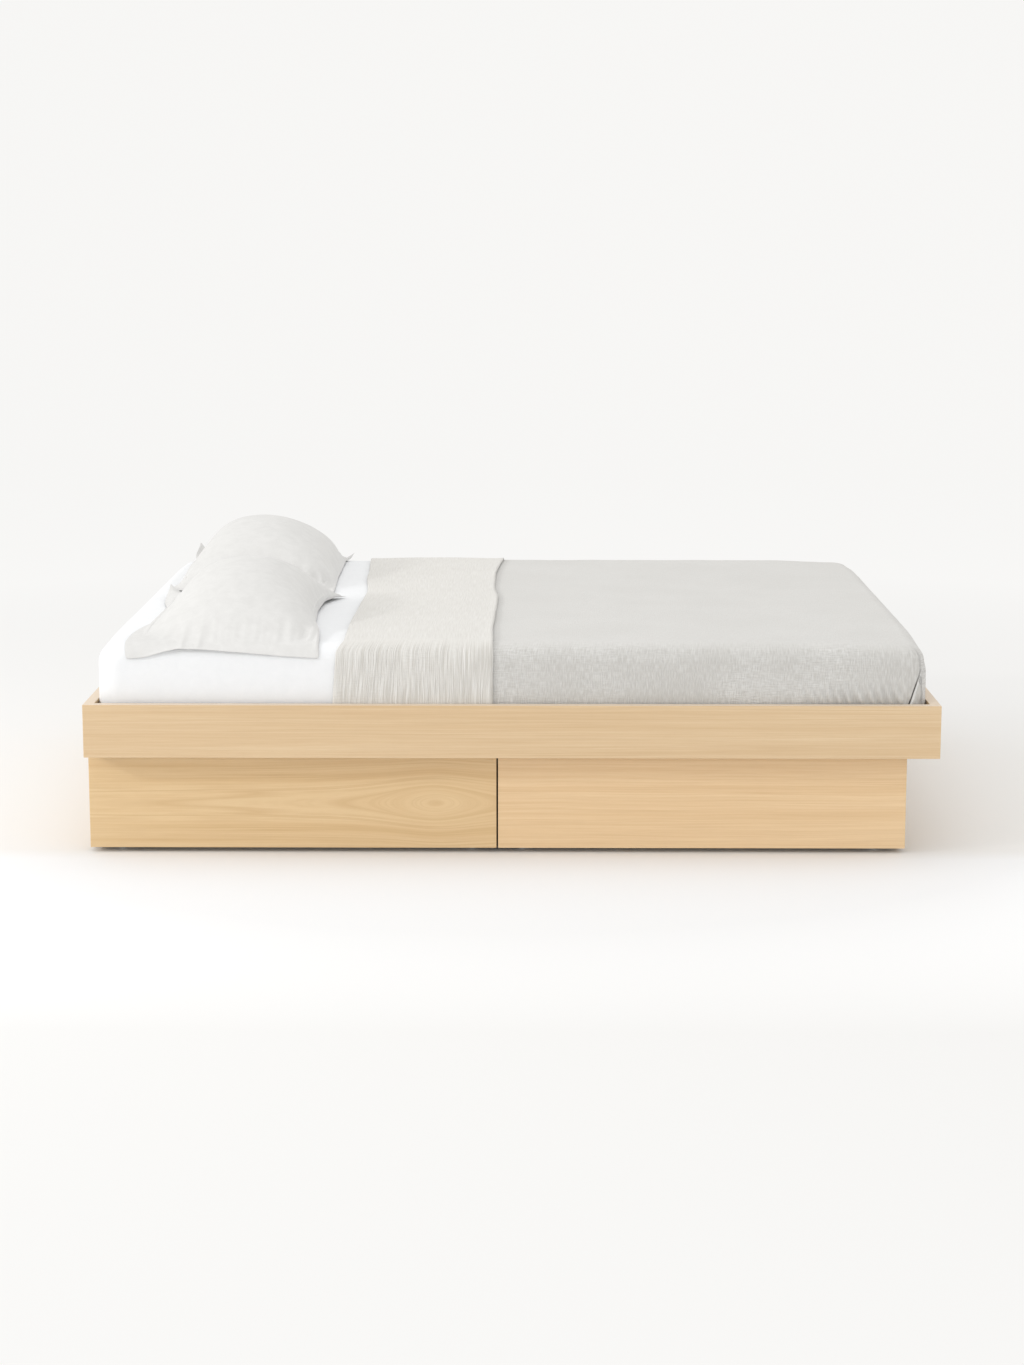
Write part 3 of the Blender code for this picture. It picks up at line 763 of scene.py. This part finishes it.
# ---------------------------------------------------------------- pillows
class Case:
    """A flat pillow case: two layers sewn together along a seam, with a single hem outside it."""

    def __init__(self, width, length):
        self.size = np.array((width, length))
        self.hem = round(HEM_WIDTH / PILLOW_STEP)
        steps = np.round(self.size / PILLOW_STEP).astype(int)
        self.i, self.j = np.meshgrid(np.arange(steps[0] + 1), np.arange(steps[1] + 1), indexing="ij")
        from_ends = np.minimum(self.i, steps[0] - self.i)
        self.from_edge = np.minimum(from_ends, np.minimum(self.j, steps[1] - self.j))
        self.filled = self.from_edge > self.hem
        self.upper = np.arange(self.i.size).reshape(self.i.shape)
        self.lower = self.upper.copy()
        self.lower[self.filled] = self.i.size + np.arange(self.filled.sum())
        grid = np.stack([self.i / steps[0] - 0.5, self.j / steps[1] - 0.5], axis=-1) * self.size
        self.flat = np.zeros((self.i.size + self.filled.sum(), 3))
        self.flat[self.upper, :2] = grid
        self.flat[self.lower, :2] = grid
        inner = self.size / 2 - HEM_WIDTH
        self.across, self.along = grid[..., 0] / inner[0], grid[..., 1] / inner[1]

    def springs(self):
        """(first, second, rest length, stiffness) sets in which no point comes twice."""
        kinds = [((1, 0), 1.0), ((0, 1), 1.0), ((1, 1), 0.22), ((1, -1), 0.22)]
        kinds += [((2, 0), 0.05), ((0, 2), 0.05), ((4, 0), 0.012), ((0, 4), 0.012)]
        for layer in (self.upper, self.lower):
            for (di, dj), stiffness in kinds:
                rows, columns = layer.shape[0] - di, layer.shape[1] - abs(dj)
                first = layer[:rows, max(0, -dj) : max(0, -dj) + columns]
                second = layer[di:, max(0, dj) : max(0, dj) + columns]
                turn = (np.indices(first.shape)[0 if di else 1] // max(di, abs(dj))) % 2
                for half in (0, 1):
                    chosen = turn == half
                    if layer is self.lower:
                        chosen &= (first >= self.i.size) | (second >= self.i.size)
                    a, b = first[chosen], second[chosen]
                    yield a, b, np.linalg.norm(self.flat[a] - self.flat[b], axis=1), stiffness

    def pressure(self, points):
        """Each point's share of the filling's push, along the cloth's normal, from 0 to about 1."""
        push = np.zeros_like(points)
        sewn = (self.from_edge >= self.hem)[:-1, :-1] & (self.from_edge >= self.hem)[1:, 1:]
        for layer, outward in ((self.upper, 1), (self.lower, -1)):
            p = points[layer]
            normal = np.cross(p[1:, :-1] - p[:-1, 1:], p[1:, 1:] - p[:-1, :-1]) * (outward * 0.5)
            normal[~sewn] = 0
            quarter = normal.reshape(-1, 3) / (4 * PILLOW_STEP**2)
            for corner in (layer[:-1, :-1], layer[1:, :-1], layer[1:, 1:], layer[:-1, 1:]):
                np.add.at(push, corner.ravel(), quarter)
        return push


def rest_on_mattress(points, before):
    """Lifts points out of the mattress, with friction along it."""
    half = np.array((MATTRESS_HIGH.x, MATTRESS_HIGH.y)) - TOP_ROUND
    beyond = np.abs(points[:, :2]) - half
    reach_out = TOP_ROUND + PILLOW_REST
    top = top_height(points[:, 0], points[:, 1]) + PILLOW_REST
    above = points[:, 2] - (top - reach_out)
    reach = np.column_stack([np.maximum(beyond, 0) * np.sign(points[:, :2]), np.maximum(above, 0)])
    distance = np.linalg.norm(reach, axis=1)
    touching = (distance < reach_out) & (beyond.max(axis=1) < reach_out)
    under = touching & (above < 0) & (beyond.max(axis=1) <= 0)
    beside = touching & ~under
    normal = np.tile((0.0, 0.0, 1.0), (len(points), 1))
    normal[beside] = reach[beside] / np.maximum(distance[beside], 1e-6)[:, None]
    points[under, 2] = top[under]
    points[beside] += normal[beside] * (reach_out - distance[beside])[:, None]
    slide = (points - before)[touching]
    slide -= (slide * normal[touching]).sum(axis=1, keepdims=True) * normal[touching]
    points[touching] -= slide * PILLOW_FRICTION


def laid_by_hand(case, shape):
    """(points, places) of the outline that is laid by hand: two hems, and the far corner at the head end.

    Both hems lie on the mattress wherever their z is under its top.
    """
    points, places = [case.upper[0, -1:]], [np.array([shape["far_corner"]])]
    for line, hem in ((case.upper[:, 0], shape["side_hem"]), (case.upper[-1, 1:], shape["foot_hem"])):
        rows = np.array(hem)
        shares = np.linspace(0, 1, len(line))
        points.append(line)
        places.append(np.column_stack([np.interp(shares, rows[:, 0], rows[:, axis]) for axis in (1, 2, 3)]))
    return np.concatenate(points), np.concatenate(places)


def filling(case, slack):
    """How full each point of the case is, from 0 to 1: less at its sides, its corners and near end below."""
    full = smooth_step(1 + case.across, 0, slack[0]) * smooth_step(1 - case.across, 0, slack[1])
    full = full * smooth_step(1 + case.along, 0, slack[2]) * smooth_step(1 - case.along, 0, slack[3])
    full = full * smooth_step(np.hypot(1 - np.abs(case.across), 1 - np.abs(case.along)), 0.0, 0.55)
    share = np.zeros(len(case.flat))
    share[case.upper] = full
    share[case.lower] = full * smooth_step(1 + case.along, 0, 1.4)
    return share


def pull_springs(points, springs):
    """One pass that moves each spring's two ends towards its rest length."""
    for first, second, rest, stiffness in springs:
        gap = points[second] - points[first]
        length = np.linalg.norm(gap, axis=1)
        shift = (0.5 * stiffness * (length - rest) / np.maximum(length, 1e-9))[:, None] * gap
        points[first] += shift
        points[second] -= shift


def start_points(case, shape):
    """The case over the mattress, a little puffed up, with a little noise so that it can wrinkle."""
    points = case.flat + np.array((*shape["centre"], PILLOW_START_Z))
    puff = 0.03 * np.clip((case.from_edge - case.hem) / 18, 0, 1)
    points[case.upper, 2] += puff
    points[case.lower[case.filled], 2] -= puff[case.filled]
    points[:, 2] += np.random.default_rng(shape["seed"]).normal(0, 0.0006, len(points))
    return points


def fill_case(case, shape):
    """Blows the case up on the mattress and lets it settle, with part of its outline laid by hand."""
    share = filling(case, shape["slack"])
    weight = np.full(len(case.flat), HEM_WEIGHT)
    for layer in (case.upper, case.lower):
        weight[layer[case.filled]] = PILLOW_WEIGHT
    points = start_points(case, shape)
    springs = list(case.springs())
    hand, places = laid_by_hand(case, shape)
    start = points[hand].copy()
    speed = np.zeros_like(points)
    for step in range(PILLOW_STEPS):
        push = PILLOW_PUSH * min(1, (step + 1) / FILL_STEPS)
        force = case.pressure(points) * (push * share)[:, None]
        force[:, 2] -= weight
        speed = (speed + force * PILLOW_TICK) * PILLOW_DRAG
        hop = speed * PILLOW_TICK
        hop *= np.minimum(1, PILLOW_STEP / 2 / np.maximum(np.linalg.norm(hop, axis=1, keepdims=True), 1e-9))
        moved = points + hop
        laid = start + (places - start) * min(1, (step + 1) / LAY_STEPS)
        for _ in range(PILLOW_PASSES):
            pull_springs(moved, springs)
            moved[hand] = laid
            rest_on_mattress(moved, points)
        speed = (moved - points) / PILLOW_TICK
        points = moved
    return points


def layer_normals(surface):
    """Unit normals of a grid of points."""
    normal = np.cross(np.gradient(surface, axis=0), np.gradient(surface, axis=1))
    return normal / np.maximum(np.linalg.norm(normal, axis=2, keepdims=True), 1e-9)


def make_pillow(shape, material):
    """A filled case as one closed skin, with a two-layer hem round it."""
    case = Case(*shape["size"])
    seed = shape["seed"]
    points = fill_case(case, shape)
    skin = []
    for layer, side in ((case.upper, 1), (case.lower, -1)):
        surface = points[layer]
        normal = layer_normals(surface)
        crease = seam_pucker(case, seed + side)
        for at in np.argwhere(case.filled):
            crease[tuple(at)] += wrinkle(surface[tuple(at)], seed)
        offset = side * HEM_THICKNESS / 2 + crease * (1.0 if side > 0 else -0.25)
        skin.append(surface + normal * offset[..., None])
    count = case.i.size
    verts = np.concatenate([skin[0].reshape(-1, 3), skin[1].reshape(-1, 3)])
    upper = case.upper
    faces = []
    cells = zip(upper[:-1, :-1].flat, upper[1:, :-1].flat, upper[1:, 1:].flat, upper[:-1, 1:].flat)
    for a, b, c, d in cells:
        faces.append((a, b, c, d))
        faces.append((d + count, c + count, b + count, a + count))
    rim = [*upper[:-1, 0], *upper[-1, :-1], *upper[:0:-1, -1], *upper[0, :0:-1]]
    for a, b in zip(rim, rim[1:] + rim[:1]):
        faces.append((a, a + count, b + count, b))
    cloth = np.tile(case.flat[upper.ravel(), :2], (2, 1))
    faces = [tuple(int(v) for v in face) for face in faces]
    pillow = cloth_object(shape["name"], verts.tolist(), faces, cloth.tolist(), [material])
    smooth = pillow.modifiers.new("smooth", "SUBSURF")
    smooth.levels = 1
    smooth.render_levels = 1
    return pillow


def wrinkle(place, seed):
    """Shallow creases in the linen, in metres."""
    x, y, z = place
    wide = noise.noise(Vector((x * 9, y * 7, z * 8 + seed)))
    fine = noise.noise(Vector((x * 30 + seed, y * 20, z * 26)))
    return 0.0014 * wide + 0.0005 * fine


def seam_pucker(case, seed):
    """Small gathers that run in from the seam, in metres, for each grid point."""
    inwards = (case.from_edge - case.hem) * PILLOW_STEP
    rows, columns = case.i.shape
    on_end = np.minimum(case.j, columns - 1 - case.j) < np.minimum(case.i, rows - 1 - case.i)
    place = np.where(on_end, case.i, case.j) * PILLOW_STEP
    uneven = [noise.noise(Vector((float(v) * 23, seed, 0))) for v in place.flat]
    uneven = np.array(uneven).reshape(place.shape)
    ridge = np.sin(2 * math.pi * place / 0.031 + 3.5 * uneven)
    return 0.0016 * ridge * (0.6 + uneven) * np.exp(-np.maximum(inwards, 0) / 0.030) * (inwards > 0)


# ---------------------------------------------------------------- stage
def make_floor():
    """A pale floor that curves up into a backdrop and glows evenly away from the bed, with painted light
    just in front of the bed: a faint glow and a cooler tone there that lift the bed's shade and its warm
    bounce.
    """
    profile = [(FLOOR_NEAR_Y, 0.0), (CURVE_FROM_Y, 0.0)]
    for step in range(1, CURVE_PARTS + 1):
        turn = math.pi / 2 * step / CURVE_PARTS
        along = CURVE_FROM_Y + CURVE_RADIUS * math.sin(turn)
        profile.append((along, CURVE_RADIUS * (1 - math.cos(turn))))
    profile.append((CURVE_FROM_Y + CURVE_RADIUS, BACKDROP_TOP))
    verts = [(x, y, z) for y, z in profile for x in (-FLOOR_HALF_WIDTH, FLOOR_HALF_WIDTH)]
    faces = [(2 * n, 2 * n + 1, 2 * n + 3, 2 * n + 2) for n in range(len(profile) - 1)]
    mesh = bpy.data.meshes.new("studio_floor")
    mesh.from_pydata(verts, [], faces)
    mesh.shade_smooth()
    floor = bpy.data.objects.new("studio_floor", mesh)
    bpy.context.scene.collection.objects.link(floor)
    g = Graph("studio_paper")
    place = g.add("SeparateXYZ", {"Vector": g.add("TexCoord").outputs["Object"]}).outputs
    x, y = place["X"], place["Y"]
    from_bed = g.math("SQRT", g.math("ADD", g.math("MULTIPLY", x, x), g.math("MULTIPLY", y, y)))
    backdrop = g.between(from_bed, 1.5, 4.5)
    # Painted light: just in front of the bed the floor glows a little and takes a cooler tone, lifting the
    # shade and the warm bounce from the wood.
    bed_front_painted_light = g.math("MULTIPLY", g.between(y, -2.2, -1.0), g.between(y, -0.83, -0.74, 1.0, 0.0))
    glow = g.math("MULTIPLY_ADD", bed_front_painted_light, 0.042, g.between(backdrop, 0.0, 1.0, 0.02, 0.785))
    paper = g.mix(backdrop, (0.795, 0.791, 0.781), (0.15, 0.149, 0.147))
    paper = g.mix(bed_front_painted_light, paper, (0.795, 0.801, 0.812))
    g.finish(paper, 0.95, Specular_IOR_Level=0.0)
    g.shader.inputs["Emission Color"].default_value = (1.0, 0.994, 0.980, 1.0)
    g.tree.links.new(glow, g.shader.inputs["Emission Strength"])
    mesh.materials.append(g.material)


def make_light():
    """Soft light from all round, with a harder key from the head end's near side."""
    world = bpy.data.worlds.new("studio")
    bpy.context.scene.world = world
    world.use_nodes = True
    world.node_tree.nodes["Background"].inputs["Color"].default_value = (1.0, 0.997, 0.99, 1.0)
    world.node_tree.nodes["Background"].inputs["Strength"].default_value = 0.935
    area_light("key", (-5.2, -3.0, 2.5), (0.0, -0.4, 0.3), 0.35, 56.0)
    area_light("left_softbox", (-5.2, -0.9, 2.5), (0.0, 0.0, 0.3), 1.6, 36.0)
    area_light("overhead", (0.2, -0.1, 6.0), (0.1, 0.0, 0.4), 5.0, 54.0)
    area_light("front_fill", (0.6, -9.0, 1.2), (0.1, 0.0, 0.3), 3.0, 64.0)


def make_camera():
    """The view: from the drawers' side, a little above the bed."""
    lens = bpy.data.cameras.new("camera")
    lens.lens = 69.28
    lens.sensor_width = 36.0
    camera = bpy.data.objects.new("camera", lens)
    camera.location = (0.0506, RAIL_FACE_Y - 6.186, RAIL_TOP + 1.1565)
    camera.rotation_euler = (math.radians(90 - 10.085), 0, math.radians(0.4544))
    bpy.context.scene.collection.objects.link(camera)
    bpy.context.scene.camera = camera
    bpy.context.scene.view_settings.view_transform = "Standard"


def area_light(name, place, aim, size, power):
    """A square area light that faces a point."""
    data = bpy.data.lights.new(name, "AREA")
    data.size = size
    data.energy = power
    light = bpy.data.objects.new(name, data)
    light.location = place
    light.rotation_euler = (Vector(aim) - Vector(place)).to_track_quat("-Z", "Y").to_euler()
    bpy.context.scene.collection.objects.link(light)


make_floor()
make_light()
make_camera()
dress_cad_nodes()

mattress = make_mattress()
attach(mattress, "root")
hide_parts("mattress")

sheet = make_fitted_sheet()
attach(sheet, "root")

blanket = make_blanket()
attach(blanket, "root")
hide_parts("blanket")

# The second colour is the painted shade in the linen's creases.
linen = cotton("pillow_linen", (0.705, 0.699, 0.684), (0.660, 0.654, 0.639), 0.0010, 0.12)
pillow_front, pillow_back = (make_pillow(shape, linen) for shape in PILLOWS)
for pillow, node in ((pillow_front, "pillow_front"), (pillow_back, "pillow_back")):
    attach(pillow, "root")
    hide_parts(node)
